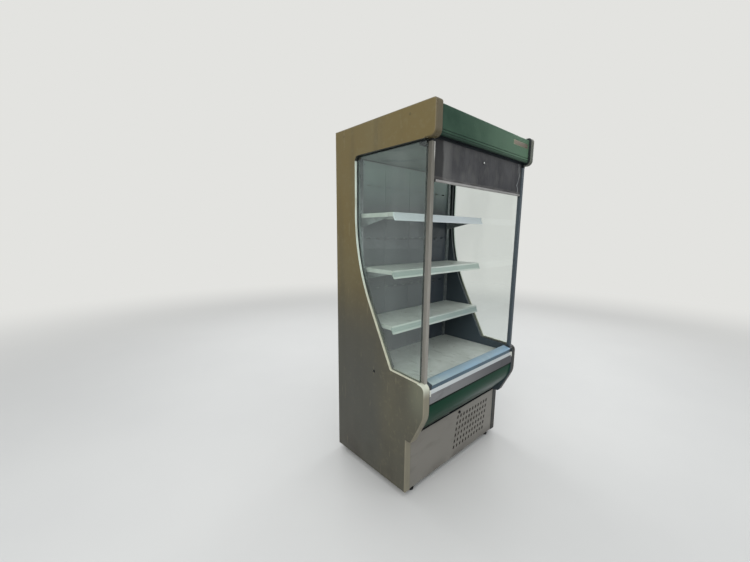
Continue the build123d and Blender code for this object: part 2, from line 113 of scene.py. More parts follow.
class Finish:
    """A material, or the sky, in the making. Patterns lie on the object's own coordinates."""

    def __init__(self, name, kind=bpy.data.materials):
        self.made = kind.new(name)
        self.made.use_nodes = True
        self.tree = self.made.node_tree
        self.tree.nodes.clear()

    def node(self, kind, settings=None, sockets=None, out=0):
        """Add a node with its settings, then its sockets' values or links; gives one output."""
        made = self.tree.nodes.new(kind)
        for key, value in (settings or {}).items():
            setattr(made, key, value)
        for key, value in (sockets or {}).items():
            if isinstance(value, Value):
                self.tree.links.new(value.socket, made.inputs[key])
            else:
                made.inputs[key].default_value = value
        return Value(self, made.outputs[out]) if len(made.outputs) else None

    def place(self):
        return self.node("ShaderNodeTexCoord", out="Object")

    def axis(self, letter, of=None):
        """One part of a vector, by default of the place on the object."""
        parts = self.node("ShaderNodeSeparateXYZ", sockets={0: of or self.place()})
        return Value(self, parts.socket.node.outputs["xyz".index(letter)])

    def facing(self, letter):
        """How squarely the surface faces along an axis, from -1 to 1."""
        return self.axis(letter, self.node("ShaderNodeNewGeometry", out="Normal"))

    def noise(self, scale, detail=3.0, stretch=(1, 1, 1), shift=(0, 0, 0)):
        """Uneven patches between about 0.3 and 0.7; a stretch under 1 draws them out."""
        laid = {"Vector": self.place(), "Scale": stretch, "Location": shift}
        grain = {"Vector": self.node("ShaderNodeMapping", sockets=laid), "Scale": scale}
        return self.node("ShaderNodeTexNoise", sockets={**grain, "Detail": detail})

    def mix(self, share, first, second):
        """Colour between first and second, each a code or a colour worked out before."""
        pair = [linear(c) if isinstance(c, str) else c for c in (first, second)]
        sockets = {0: share, 6: pair[0], 7: pair[1]}
        return self.node("ShaderNodeMix", {"data_type": "RGBA"}, sockets, out=2)

    def relief(self, height, strength, depth, under=None):
        """Bumps from a pattern's height, laid over other bumps if they are given."""
        sockets = {"Height": height, "Strength": strength, "Distance": depth}
        if under:
            sockets["Normal"] = under
        return self.node("ShaderNodeBump", sockets=sockets)

    def shader(self, **sockets):
        """The main shader; a socket's name has _ for each space, and a colour may be a code."""
        named = {key.replace("_", " "): value for key, value in sockets.items()}
        plain = {key: linear(v) if isinstance(v, str) else v for key, v in named.items()}
        return self.node("ShaderNodeBsdfPrincipled", sockets=plain)

    def done(self, shader, output="ShaderNodeOutputMaterial"):
        self.node(output, sockets={"Surface": shader})
        return self.made

    def all_over(self, **sockets):
        """The finished material, with one kind of surface all over."""
        return self.done(self.shader(**sockets))


def rays(finish, *kinds):
    """1 for rays of the named kinds, 0 for the rest."""
    found = [finish.node("ShaderNodeLightPath", out=f"Is {kind} Ray") for kind in kinds]
    return sum(found[1:], found[0])


sky = Finish("studio_sky", bpy.data.worlds)
seen = rays(sky, "Camera", "Transmission")
backdrop_tone = "e3e3e0"
sky_colour = sky.mix(seen, "b4b8bd", backdrop_tone)
scene.world = sky.done(
    sky.node("ShaderNodeBackground", sockets={"Color": sky_colour, "Strength": 1.0}),
    "ShaderNodeOutputWorld",
)

floor_finish = Finish("pale_floor")
away = floor_finish.node(
    "ShaderNodeVectorMath", {"operation": "LENGTH"}, {0: floor_finish.place()}, out="Value"
)
floor_tone = floor_finish.mix(floor_finish.noise(1.3, 4), "bcbcba", "c3c3c0")
floor_rough = floor_finish.noise(6) * 0.1 + 0.55
near_floor = floor_finish.shader(Base_Color=floor_tone, Roughness=floor_rough)
backdrop = floor_finish.node("ShaderNodeEmission", sockets={"Color": linear(backdrop_tone)})
share = away.rise(1.6, 8.0) * rays(floor_finish, "Camera", "Transmission")
floor_paint = floor_finish.done(
    floor_finish.node("ShaderNodeMixShader", sockets={0: share, 1: near_floor, 2: backdrop})
)
bpy.ops.mesh.primitive_circle_add(vertices=96, radius=30, fill_type="NGON", location=(0, 0, 0))
floor = bpy.context.object
floor.name = "floor"
floor.data.materials.append(floor_paint)

# Each panel of light: place, size, power and the point it is turned to.
panels = {
    "key_panel": ((-3.9, -1.6, 3.1), 4.0, 150, (0, -0.1, 1.0)),
    "front_panel": ((1.3, -4.3, 2.6), 3.4, 60, (0, -0.2, 1.0)),
    "side_panel": ((4.2, 0.6, 2.7), 3.2, 75, (0, 0.1, 1.0)),
    "rear_panel": ((0.6, 3.8, 2.9), 3.0, 72, (0, 0.2, 1.0)),
    "ceiling_panel": ((-0.2, -0.3, 4.8), 3.6, 70, (0, 0, 1.0)),
}
for panel_name, (place, size, power, target) in panels.items():
    lamp = bpy.data.lights.new(panel_name, "AREA")
    lamp.size = size
    lamp.energy = power
    holder = bpy.data.objects.new(panel_name, lamp)
    scene.collection.objects.link(holder)
    holder.visible_transmission = False
    holder.location = place
    holder.rotation_euler = (Vector(target) - Vector(place)).to_track_quat("-Z", "Y").to_euler()

# End panels.
# Two moulded ends in cream enamel. Painted lamp light makes them warmer brown toward the top
# and greyer toward the front low down. The front rims are painted pale near the nose top, as
# light catching them, and are grimy higher up; the right end's rims are painted dark as shade.
# The inner faces are slate, and painted near black above as shade.
window_foot, window_head, pane_front = 0.68, 1.79, -0.296
screw_cap_spots, screw_cap_height, screw_cap_radius = (-0.213, 0.277), 1.918, 0.0045
inside_from = 0.4272
end_finish = Finish("aged_and_lit_cream_enamel")
height = end_finish.axis("z")
broad = end_finish.noise(2.6, 4)
runs = end_finish.noise(11, 4, stretch=(1, 1, 0.12))
mottle = end_finish.noise(48, 5)
# Warmer brown toward the top: painted lamp light from above.
aged_and_lit = end_finish.mix(height.rise(0.5, 1.55), "48463b", "655835")
aged_and_lit = end_finish.mix(broad.rise(0.35, 0.7) * 0.3, aged_and_lit, "69644b")
aged_and_lit = end_finish.mix(runs.rise(0.5, 0.78) * 0.35, aged_and_lit, "464335")
aged_and_lit = end_finish.mix(mottle.rise(0.52, 0.75) * 0.2, aged_and_lit, "777258")
# Greyer and lighter toward the front of the lower cheek: painted light.
near_rim = end_finish.axis("y").rise(-0.2, -0.31) * height.rise(0.4, 0.62) * height.rise(1.0, 0.7)
aged_and_lit = end_finish.mix(near_rim * 0.62, aged_and_lit, "6b6d5b")
toward_rear = end_finish.axis("y").rise(-0.12, 0.05) * height.rise(1.15, 0.75)
aged_and_lit = end_finish.mix(toward_rear * 0.6, aged_and_lit, "3e3f3b")
kicked = height.rise(0.42, 0.04) * end_finish.noise(7, 5).rise(0.4, 0.65)
aged_and_lit = end_finish.mix(kicked * 0.6, aged_and_lit, "3a362f")
rim = end_finish.facing("x").size().rise(0.985, 0.8) * end_finish.facing("y").rise(0.3, -0.1)
handled = rim * end_finish.noise(17, 4, stretch=(1, 1, 0.4)).rise(0.3, 0.6)
# Rims are painted pale near the nose top as light catching them, and grimy brown higher up.
rim_light_and_grime = end_finish.mix(height.rise(0.668, 0.6), "c6c9b8", "7c7766")
rim_light_and_grime = end_finish.mix(height.rise(0.9, 1.3), rim_light_and_grime, "4e4632")
far_end = end_finish.axis("x").rise(0.3, 0.4)
# The right end's rims are painted dark, near black low down: painted shade.
far_rim_shade = end_finish.mix(height.rise(0.9, 1.3), "131416", "4a5049")
rim_light_and_grime = end_finish.mix(far_end, rim_light_and_grime, far_rim_shade)
aged_and_lit = end_finish.mix(rim * 0.7 + handled * 0.2, aged_and_lit, rim_light_and_grime)
scratches = end_finish.noise(75, 3, stretch=(1, 1, 0.08), shift=(3, 1, 0)).rise(0.67, 0.72)
aged_and_lit = end_finish.mix(scratches * 0.2, aged_and_lit, "8b8468")
# A dark ring of dirt stands round each of the two screw caps in the canopy cheek.
unringed = 1.0
for cap_y in screw_cap_spots:
    beside = (end_finish.axis("y") - cap_y).maths("POWER", 2.0)
    from_cap = (beside + (height - screw_cap_height).maths("POWER", 2.0)).maths("SQRT")
    unringed = (from_cap - screw_cap_radius).size().rise(0.0004, 0.0012) * unringed
aged_and_lit = end_finish.mix(unringed, "2f2b20", aged_and_lit)
# The window's edge behind the pane is plain grey, and darker at the foot of the left end.
behind_pane = end_finish.axis("y").rise(pane_front, pane_front + 0.008)
behind_pane = behind_pane * height.rise(window_foot, window_foot + 0.01)
reveal = rim * behind_pane * height.rise(window_head, window_head - 0.01)
reveal_tone = end_finish.mix(height.rise(1.05, 1.4), "2b3131", "84918f")
reveal_tone = end_finish.mix(far_end, reveal_tone, "4f5556")
aged_and_lit = end_finish.mix(reveal, aged_and_lit, reveal_tone)
inside = end_finish.axis("x").size().rise(inside_from, inside_from - 0.0008)
# Slate low down and painted near black above, as shade on the inner faces.
inner = end_finish.mix(height.rise(1.5, 1.2), "141a1a", "3f494f")
inner = end_finish.mix(broad * 0.5, inner, "262d2f")
end_colour = end_finish.mix(inside, aged_and_lit, inner)
end_bumps = end_finish.relief(end_finish.noise(380, 2), 0.12, 0.0006)
end_bumps = end_finish.relief(broad, 0.15, 0.004, end_bumps)
end_rough = runs * 0.18 + mottle * 0.1 + 0.32
end_paint = end_finish.all_over(
    Base_Color=end_colour,
    Roughness=end_rough,
    Normal=end_bumps,
    Specular_IOR_Level=0.35,
)


def dress(finish, *names):
    """Give CAD nodes a finish through their material slots."""
    for name in names:
        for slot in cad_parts[name].material_slots:
            slot.material = finish


dress(end_paint, "left_end_panel", "right_end_panel")

# Side plugs: caps moulded in black plastic, one for the round hole in each end panel. They are
# pressed in from outside.
plug_finish = Finish("black_moulding")
plug_tone = plug_finish.mix(plug_finish.noise(240, 3), "0c0d0e", "1a1c1d")
plug_bumps = plug_finish.relief(plug_finish.noise(600, 2), 0.2, 0.0004)
plug_rough = plug_finish.noise(90) * 0.2 + 0.4
plug_paint = plug_finish.all_over(
    Base_Color=plug_tone,
    Roughness=plug_rough,
    Normal=plug_bumps,
    Specular_IOR_Level=0.2,
)
dress(plug_paint, "side_plugs")

# Window trims: an edging of cream vinyl round each cut-out. It is painted black along the top and
# round the upper corner, as the shade under the top edge, and browned by dirt along the slanted
# foot.
trim_finish = Finish("cream_edging")
shade_black_from = 1.774
trim_height = trim_finish.axis("z")
soiled = trim_finish.noise(26, 4, stretch=(1, 1, 0.5)).rise(0.45, 0.72)
cream = trim_finish.mix(trim_height.rise(0.95, 1.3), "bbbaa6", "d2ded2")
cream = trim_finish.mix(soiled * 0.4, cream, "8b8671")
# Black along the top is painted shade under the window's top edge.
trim_colour = trim_finish.mix(trim_height.rise(shade_black_from, shade_black_from + 0.005), cream, "26271f")
trim_bumps = trim_finish.relief(trim_finish.noise(300, 2), 0.15, 0.0004)
trim_rough = soiled * 0.15 + 0.38
trim_paint = trim_finish.all_over(Base_Color=trim_colour, Roughness=trim_rough, Normal=trim_bumps)
dress(trim_paint, "left_window_trim", "right_window_trim")

# Glass gaskets: channels of extruded rubber that hold the edge of each pane. They are black
# above and chalky with age along the slanted foot.
gasket_finish = Finish("glazing_rubber")
chalky = gasket_finish.axis("z").rise(1.1, 0.95)
bloom = gasket_finish.noise(60, 4).rise(0.4, 0.8)
dark_rubber = gasket_finish.mix(bloom * 0.4, "161d1e", "2c3534")
gasket_colour = gasket_finish.mix(chalky, dark_rubber, gasket_finish.mix(bloom, "6e7268", "5c6056"))
gasket_rough = bloom * 0.2 + 0.55
gasket_bumps = gasket_finish.relief(gasket_finish.noise(500, 2), 0.2, 0.0004)
gasket_paint = gasket_finish.all_over(
    Base_Color=gasket_colour,
    Roughness=gasket_rough,
    Normal=gasket_bumps,
    Specular_IOR_Level=0.25,
)
dress(gasket_paint, "left_glass_gasket", "right_glass_gasket")

# End glass: a flat pane of float glass in each end, set in its gasket. It has a faint green
# body and a film of dust and wiped smears.
glass_finish = Finish("end_glazing")
smears = glass_finish.noise(5, 5, stretch=(1, 1, 0.35)).rise(0.4, 0.75)
specks = glass_finish.noise(160, 2).rise(0.62, 0.8)
film = smears * 0.05 + specks * 0.04 + 0.03
pane_clear = glass_finish.shader(
    Base_Color="eef3f0", Roughness=0.0, IOR=1.45, Transmission_Weight=1.0
)
lets_light = glass_finish.node("ShaderNodeBsdfTransparent", sockets={"Color": linear("e6ece9")})
pane_lit = glass_finish.node(
    "ShaderNodeMixShader", sockets={0: rays(glass_finish, "Shadow"), 1: pane_clear, 2: lets_light}
)
dust_tone = glass_finish.mix(smears, "9fa8a6", "b3bab8")
dust = glass_finish.shader(Base_Color=dust_tone, Roughness=0.9)
glass_paint = glass_finish.done(
    glass_finish.node("ShaderNodeMixShader", sockets={0: film, 1: pane_lit, 2: dust})
)
dress(glass_paint, "left_end_glass", "right_end_glass")

# Front posts.
# Square tubes of anodised aluminium with the draw lines of the extrusion. The left one is
# painted darker brown toward the top as shade under the canopy cheek, with a painted highlight
# near the top of its front, and the right one is painted slate as shade. A dark plastic collar
# closes the joint under each canopy cheek, where its dark also paints the shade.
post_finish = Finish("dull_anodised_tube")
draw_lines = post_finish.noise(520, 3, stretch=(1, 1, 0.01))
handled = post_finish.noise(14, 4, stretch=(1, 1, 0.3)).rise(0.45, 0.75)
post_colour = post_finish.mix(draw_lines, "7a7770", "8f8c84")
post_colour = post_finish.mix(handled * 0.25, post_colour, "66645d")
far_post = post_finish.axis("x").rise(0.3, 0.4)
front = post_finish.facing("y").rise(-0.5, -0.6)
square = post_finish.facing("y").rise(-0.9, -0.97)
near_post = post_finish.axis("x").rise(0.3, 0.2)
# Darker brown toward the top of the left post: painted shade under the canopy cheek.
cheek_shade = post_finish.axis("z").rise(1.1, 1.75) * near_post
post_colour = post_finish.mix(cheek_shade * 0.62, post_colour, "48453a")
# A bright strip near the top of the left post's front: a painted highlight.
painted_glint = post_finish.axis("z").rise(1.70, 1.75) * post_finish.axis("x").rise(-0.4300, -0.4275)
post_colour = post_finish.mix(front * handled * 0.3, post_colour, "b0afa8")
post_colour = post_finish.mix(front * painted_glint * 0.7, post_colour, "c4c4be")
# The right post is painted slate, its front darker still: painted shade.
post_colour = post_finish.mix(far_post * 0.85, post_colour, "414f59")
post_colour = post_finish.mix(far_post * square * 0.6, post_colour, "323b40")
post_rough = draw_lines * 0.15 + 0.34
post_bumps = post_finish.relief(draw_lines, 0.25, 0.0003)
post_paint = post_finish.all_over(
    Base_Color=post_colour,
    Roughness=post_rough,
    Normal=post_bumps,
    Metallic=square.maths("MULTIPLY_ADD", -0.4, 0.4),
    Specular_IOR_Level=0.3,
)
dress(post_paint, "left_front_post", "right_front_post")


def fixed(piece, name, finish):
    """Name a finished piece, settle its place into its mesh and fix it to the cabinet."""
    piece.name = piece.data.name = name
    piece.data.materials.clear()
    piece.data.materials.append(finish)
    bpy.ops.object.select_all(action="DESELECT")
    piece.select_set(True)
    bpy.context.view_layer.objects.active = piece
    bpy.ops.object.transform_apply(location=True, rotation=True, scale=True)
    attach(piece, "root")


def sized_block(low, high, bevel, segments=2):
    """A box between two corners, with its edges rounded over."""
    bpy.ops.object.select_all(action="DESELECT")
    bpy.ops.mesh.primitive_cube_add(size=1)
    made = bpy.context.object
    made.location = [(a + b) / 2 for a, b in zip(low, high)]
    made.scale = [b - a for a, b in zip(low, high)]
    bpy.ops.object.transform_apply(location=True, rotation=True, scale=True)
    bpy.ops.object.mode_set(mode="EDIT")
    bpy.ops.mesh.select_all(action="SELECT")
    bpy.ops.mesh.bevel(offset=bevel, segments=segments, affect="EDGES")
    bpy.ops.object.mode_set(mode="OBJECT")
    bpy.ops.object.shade_smooth_by_angle(angle=math.radians(35))
    return made


# Each collar is dark plastic set where shade falls under the cheek, so its dark also paints that
# shade.
collar_wall, collar_foot, collar_top = 0.0008, 0.011, 0.0004
for side in ("left", "right"):
    low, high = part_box(f"{side}_front_post")
    collar = sized_block(
        (low.x - collar_wall, low.y - collar_wall, high.z - collar_foot),
        (high.x + collar_wall, high.y + collar_wall, high.z - collar_top),
        bevel=0.0012,
    )
    fixed(collar, f"{side}_post_collar", plug_paint)

# Rear wall, roof and well.
# Insulated casing in pre-painted grey steel, faintly rippled over the foam inside, with screws
# along the seams. Dust has settled on the roof, and the well's front underside is painted black
# as the shade in the gap under the bumper.
shell_finish = Finish("casing_steel")
ripple = shell_finish.noise(5, 3)
spots = shell_finish.noise(70, 4)
dusty = shell_finish.facing("z").rise(0.6, 0.95) * shell_finish.noise(8, 5).rise(0.3, 0.65)
shell_colour = shell_finish.mix(spots, "8f918c", "9c9e98")
shell_colour = shell_finish.mix(ripple.rise(0.5, 0.8) * 0.3, shell_colour, "7c7e79")
shell_colour = shell_finish.mix(dusty * 0.7, shell_colour, "76705f")
# Black under the well's front: painted shade in the gap under the bumper.
gap_shade = shell_finish.axis("y").rise(-0.1, -0.15) * shell_finish.axis("z").rise(0.4, 0.375)
shell_colour = shell_finish.mix(gap_shade, shell_colour, "131516")
shell_rough = dusty * 0.35 + spots * 0.1 + 0.38
shell_bumps = shell_finish.relief(ripple, 0.3, 0.006)
shell_bumps = shell_finish.relief(shell_finish.noise(450, 2), 0.1, 0.0004, shell_bumps)
shell_paint = shell_finish.all_over(
    Base_Color=shell_colour,
    Roughness=shell_rough,
    Normal=shell_bumps,
    Metallic=0.15,
)
dress(shell_paint, "rear_wall", "roof_panel", "well_tank", "base_back_panel")
screw_finish = Finish("plated_screw")
screw_paint = screw_finish.all_over(
    Base_Color=screw_finish.mix(screw_finish.noise(180, 3), "6c6d6a", "8f908c"),
    Metallic=0.7,
    Roughness=screw_finish.noise(300) * 0.25 + 0.3,
)


def turned_disc(radius, depth, bevel, sides=32):
    """A round button lying in the XY plane, with its top edge rounded over."""
    bpy.ops.object.select_all(action="DESELECT")
    bpy.ops.mesh.primitive_cylinder_add(vertices=sides, radius=radius, depth=depth)
    made = bpy.context.object
    bpy.ops.object.mode_set(mode="EDIT")
    bpy.ops.mesh.select_all(action="DESELECT")
    bpy.ops.object.mode_set(mode="OBJECT")
    for polygon in made.data.polygons:
        polygon.select = polygon.normal.z > 0.9
    bpy.ops.object.mode_set(mode="EDIT")
    bpy.ops.mesh.bevel(offset=bevel, segments=3, affect="EDGES")
    bpy.ops.object.mode_set(mode="OBJECT")
    bpy.ops.object.shade_smooth_by_angle(angle=math.radians(35))
    return made


def recess(piece, centre, sizes, turn=0):
    """Cut a slot of some length, width and depth into a piece, turned about Z."""
    bpy.ops.object.select_all(action="DESELECT")
    bpy.ops.mesh.primitive_cube_add(size=1, location=centre, rotation=(0, 0, turn))
    blade = bpy.context.object
    blade.scale = sizes
    cut = piece.modifiers.new("recess", "BOOLEAN")
    cut.object = blade
    cut.solver = "EXACT"
    bpy.context.view_layer.objects.active = piece
    bpy.ops.object.modifier_apply(modifier="recess")
    bpy.data.objects.remove(blade)


head_depth = 0.0016


def cross_head():
    """A screw head with its cross recess, 7 mm wide, facing +Z from the origin."""
    head = turned_disc(radius=0.0035, depth=head_depth, bevel=0.0006, sides=20)
    for turn in (0, math.pi / 2):
        recess(head, (0, 0, head_depth / 2), (0.0042, 0.0009, head_depth), turn)
    return head


def copied(master, spots, toward):
    """Copies of one small part at several spots, turned from +Z to a direction, as one piece."""
    turn = Vector(toward).to_track_quat("Z", "Y").to_matrix().to_4x4()
    copies = []
    for spot in spots:
        twin = master.copy()
        twin.data = master.data.copy()
        scene.collection.objects.link(twin)
        twin.matrix_world = Matrix.Translation(spot) @ turn
        copies.append(twin)
    bpy.data.objects.remove(master)
    bpy.ops.object.select_all(action="DESELECT")
    for twin in copies:
        twin.select_set(True)
    bpy.context.view_layer.objects.active = copies[0]
    if len(copies) > 1:
        bpy.ops.object.join()
    return bpy.context.view_layer.objects.active


wall_face, roof_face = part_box("rear_wall")[1].y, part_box("roof_panel")[1].z
heights = (0.37, 0.67, 0.97, 1.27, 1.57, 1.87)
on_wall, on_roof = wall_face + head_depth / 2, roof_face + head_depth / 2
wall_spots = [(x, on_wall, z) for x in (-0.40, 0.40) for z in heights]
wall_spots += [(x, on_wall, z) for x in (-0.39, 0.0, 0.39) for z in (0.05, 0.31)]
wall_screws = copied(cross_head(), wall_spots, toward=(0, 1, 0))
fixed(wall_screws, "rear_wall_screws", screw_paint)
roof_spots = [(x, y, on_roof) for x in (-0.40, 0.40) for y in (-0.30, -0.1, 0.1, 0.28)]
roof_screws = copied(cross_head(), roof_spots, toward=(0, 0, 1))
fixed(roof_screws, "roof_screws", screw_paint)

# Canopy fascia.
# One folded sheet in green enamel, hazy in patches and painted lighter toward the right end as a
# reflection, with two rolled grooves above its lower fold that are painted dark with the fold as
# shade, and a bare metal name plate held by two rivets.
grooves = (1.828, 1.840)
fascia_finish = Finish("green_enamel_painted_reflection")
painted_reflection = fascia_finish.axis("x").rise(-0.45, 0.5)
haze = fascia_finish.noise(9, 5).rise(0.35, 0.75)
streaks = fascia_finish.noise(60, 3, stretch=(1, 1, 0.1)).rise(0.5, 0.8)
# Lighter toward the right end: a painted reflection.
fascia_colour = fascia_finish.mix(painted_reflection, "163425", "516b56")
fascia_colour = fascia_finish.mix(haze * 0.2, fascia_colour, "5d7763")
fascia_colour = fascia_finish.mix(streaks * 0.15, fascia_colour, "223a2c")
fascia_height = fascia_finish.axis("z")
# Darker along the lower fold and in the two grooves: painted shade.
fold_shade = fascia_height.rise(1.832, 1.819)
fascia_colour = fascia_finish.mix(fold_shade * 0.6, fascia_colour, "1a2a24")
for groove in grooves:
    groove_shade = (fascia_height - groove).size().rise(0.0022, 0.0008)
    fascia_colour = fascia_finish.mix(groove_shade * 0.7, fascia_colour, "13201b")
edge_dirt = fascia_height.rise(1.928, 1.944) * haze
fascia_colour = fascia_finish.mix(edge_dirt * 0.4, fascia_colour, "24372c")
fascia_rough = haze * 0.18 + 0.36
fascia_bumps = fascia_finish.relief(fascia_finish.noise(420, 2), 0.1, 0.0004)
fascia_bumps = fascia_finish.relief(fascia_finish.noise(3.2, 2), 0.12, 0.006, fascia_bumps)
fascia_paint = fascia_finish.all_over(
    Base_Color=fascia_colour,
    Roughness=fascia_rough,
    Normal=fascia_bumps,
    IOR=1.3,
    Specular_IOR_Level=0.3,
)
dress(fascia_paint, "canopy_fascia")

plate_x, plate_z, half_wide, half_high = 0.327, 1.905, 0.0855, 0.0125
plate_front, plate_back = -0.3459, -0.3446
plate_finish = Finish("bare_plate_metal")
plate_lines = plate_finish.noise(700, 3, stretch=(0.02, 1, 1))
plate_colour = plate_finish.mix(plate_lines, "6f6659", "877d6e")
sides = (plate_finish.axis("x") - plate_x).size().rise(half_wide - 0.002, half_wide - 0.001)
ends = (plate_finish.axis("z") - plate_z).size().rise(half_high - 0.002, half_high - 0.001)
plate_colour = plate_finish.mix(sides.maths("MAXIMUM", ends), plate_colour, "98a085")
plate_paint = plate_finish.all_over(
    Base_Color=plate_colour,
    Roughness=plate_lines * 0.2 + 0.35,
    Metallic=0.5,
    Normal=plate_finish.relief(plate_lines, 0.3, 0.0003),
)
plate = sized_block(
    (plate_x - half_wide, plate_front, plate_z - half_high),
    (plate_x + half_wide, plate_back, plate_z + half_high),
    bevel=0.0004,
)
fixed(plate, "name_plate", plate_paint)
rivets = copied(
    turned_disc(radius=0.0024, depth=0.0012, bevel=0.0007, sides=16),
    [(plate_x + away, plate_front - 0.0004, plate_z) for away in (-0.0795, 0.0795)],
    toward=(0, -1, 0),
)
fixed(rivets, "name_plate_rivets", plate_paint)

# Canopy seal: an extruded strip of soft black rubber under the fascia's lower fold, whose black
# also paints the shade under the fold. Dust has greyed it in patches.
seal_finish = Finish("soft_black_rubber")
seal_bloom = seal_finish.noise(40, 4, stretch=(0.2, 1, 1)).rise(0.4, 0.75)
seal_paint = seal_finish.all_over(
    Base_Color=seal_finish.mix(seal_bloom * 0.5, "10161a", "232d33"),
    Roughness=seal_bloom * 0.2 + 0.5,
    Normal=seal_finish.relief(seal_finish.noise(500, 2), 0.2, 0.0004),
    Specular_IOR_Level=0.2,
)
dress(seal_paint, "canopy_seal")

# Canopy ceiling and air outlet.
# The ceiling is a grey enamelled sheet, stained in patches. The outlet is a honeycomb of dark
# grey plastic, dusty from the air that blows through it.
ceiling_finish = Finish("ceiling_enamel")
ceiling_stain = ceiling_finish.noise(7, 5).rise(0.4, 0.75)
ceiling_paint = ceiling_finish.all_over(
    Base_Color=ceiling_finish.mix(ceiling_stain, "808c86", "6c7872"),
    Roughness=ceiling_stain * 0.15 + 0.35,
    Normal=ceiling_finish.relief(ceiling_finish.noise(3, 2), 0.15, 0.005),
)
dress(ceiling_paint, "canopy_ceiling")

comb_finish = Finish("dusty_grey_plastic")
comb_dust = comb_finish.noise(55, 4).rise(0.4, 0.7)
comb_paint = comb_finish.all_over(
    Base_Color=comb_finish.mix(comb_dust, "33393b", "54585a"),
    Roughness=comb_dust * 0.3 + 0.45,
    Normal=comb_finish.relief(comb_dust, 0.2, 0.0006),
)
dress(comb_paint, "air_outlet_grille")

# Night blind.
# A coated charcoal cloth hangs a third of the way down from its sprung roller. It has taken
# soft upright creases and dust, and a thin metal bar stiffens its lower hem.
roller_finish = Finish("zinc_plated_steel")
spangle = roller_finish.node(
    "ShaderNodeTexVoronoi", sockets={"Vector": roller_finish.place(), "Scale": 120.0}, out="Color"
)
spangle = roller_finish.axis("x", spangle)
tarnish = roller_finish.noise(18, 4).rise(0.4, 0.75)
zinc = roller_finish.mix(spangle, "7c8385", "969c9c")
zinc = roller_finish.mix(tarnish * 0.4, zinc, "5c6262")
zinc_paint = roller_finish.all_over(
    Base_Color=zinc,
    Metallic=0.6,
    Roughness=spangle * 0.15 + tarnish * 0.15 + 0.32,
    Normal=roller_finish.relief(spangle, 0.08, 0.0004),
)
dress(zinc_paint, "blind_roller", "left_upright", "right_upright")

blind_width = 0.832
blind_top, blind_foot = 1.868, 1.636
blind_plane = -0.3140
pinned_from = 1.820
steps = 36
room_ahead, room_behind = 0.0014, 0.0055
bpy.ops.object.select_all(action="DESELECT")
bpy.ops.mesh.primitive_grid_add(
    x_subdivisions=150, y_subdivisions=40, size=1, rotation=(math.pi / 2, 0, 0),
    location=(0, blind_plane, (blind_top + blind_foot) / 2),
)
blind = bpy.context.object
blind.scale = (blind_width, blind_top - blind_foot, 1)
bpy.ops.object.transform_apply(location=True, rotation=True, scale=True)
held = blind.vertex_groups.new(name="held")
held.add([v.index for v in blind.data.vertices if v.co.z > pinned_from], 1.0, "REPLACE")
held.add([v.index for v in blind.data.vertices if v.co.z < blind_foot + 0.004], 1.0, "REPLACE")
# It is pinned at the roller and the hem and cut 1.2% too large, so that it creases.
for v in blind.data.vertices:
    if blind_foot + 0.006 < v.co.z < pinned_from - 0.002:
        lean = math.sin(v.co.x * 37 + 1) + 0.6 * math.sin(v.co.x * 91 + v.co.z * 40)
        v.co.y += 0.0006 * lean
cloth = blind.modifiers.new("hang", "CLOTH")
cloth.settings.quality = 5
cloth.settings.mass = 0.35
cloth.settings.tension_stiffness = 40
cloth.settings.compression_stiffness = 40
cloth.settings.shear_stiffness = 12
cloth.settings.bending_stiffness = 0.8
cloth.settings.vertex_group_mass = "held"
cloth.settings.shrink_min = -0.012
cloth.point_cache.frame_start = 1
cloth.point_cache.frame_end = steps
for step in range(1, steps + 1):
    scene.frame_set(step)
bpy.context.view_layer.objects.active = blind
bpy.ops.object.modifier_apply(modifier="hang")
scene.frame_set(1)
# The canopy seal leaves the cloth 1.5 mm in front, and its folds fall back up to 5.5 mm.
for v in blind.data.vertices:
    fold = v.co.y - blind_plane
    if fold > 0:
        fold = min(fold, room_behind)
    else:
        fold = -room_ahead * (1 - math.exp(fold / room_ahead))
    v.co.y = blind_plane + fold
thick = blind.modifiers.new("thickness", "SOLIDIFY")
thick.thickness = 0.0009
thick.offset = 0
bpy.context.view_layer.objects.active = blind
bpy.ops.object.modifier_apply(modifier="thickness")
bpy.ops.object.shade_smooth_by_angle(angle=math.radians(50))

cloth_finish = Finish("charcoal_coated_cloth")
across = cloth_finish.axis("x")
up = cloth_finish.axis("z")
thread_wave = 5200
weave = (across * thread_wave).maths("SINE") * (up * thread_wave).maths("SINE")
cloth_dust = cloth_finish.noise(8, 3).rise(0.35, 0.65)
crease_marks = cloth_finish.noise(19, 3, stretch=(1, 1, 0.7), shift=(1, 0, 4)).rise(0.48, 0.7)
charcoal = cloth_finish.mix(cloth_dust, "373739", "4b4b4c")
charcoal = cloth_finish.mix(crease_marks * 0.25, charcoal, "5e5e59")
shaded_foot = up.rise(1.76, 1.65) * across.rise(-0.2, 0.35)
charcoal = cloth_finish.mix(shaded_foot * 0.5, charcoal, "2a2a2e")
uneven = across + cloth_finish.noise(13, 3) * 0.05 - 0.025
# A dark band down the left edge is painted shade; a paler band lies just right of it.
left_shade_band = uneven.rise(-0.335, -0.365)
paler_band = uneven.rise(-0.36, -0.345) * uneven.rise(-0.27, -0.32)
charcoal = cloth_finish.mix(left_shade_band * 0.7, charcoal, "1c1c1b")
charcoal = cloth_finish.mix(paler_band * 0.4, charcoal, "6d6d6a")
wander = cloth_finish.noise(14, 3, stretch=(0, 0, 1), shift=(5, 0, 0)) * 0.07 + 0.355
frayed = (across - wander).size().rise(0.004, 0.0012)
charcoal = cloth_finish.mix(frayed * 0.6, charcoal, "979c9c")
hem = up.rise(1.652, 1.646)
charcoal = cloth_finish.mix(hem * 0.25, charcoal, "6a6764")
cloth_paint = cloth_finish.all_over(
    Base_Color=charcoal,
    Roughness=cloth_dust * 0.2 + 0.62,
    Normal=cloth_finish.relief(weave, 0.1, 0.0002),
    Specular_IOR_Level=0.25,
)
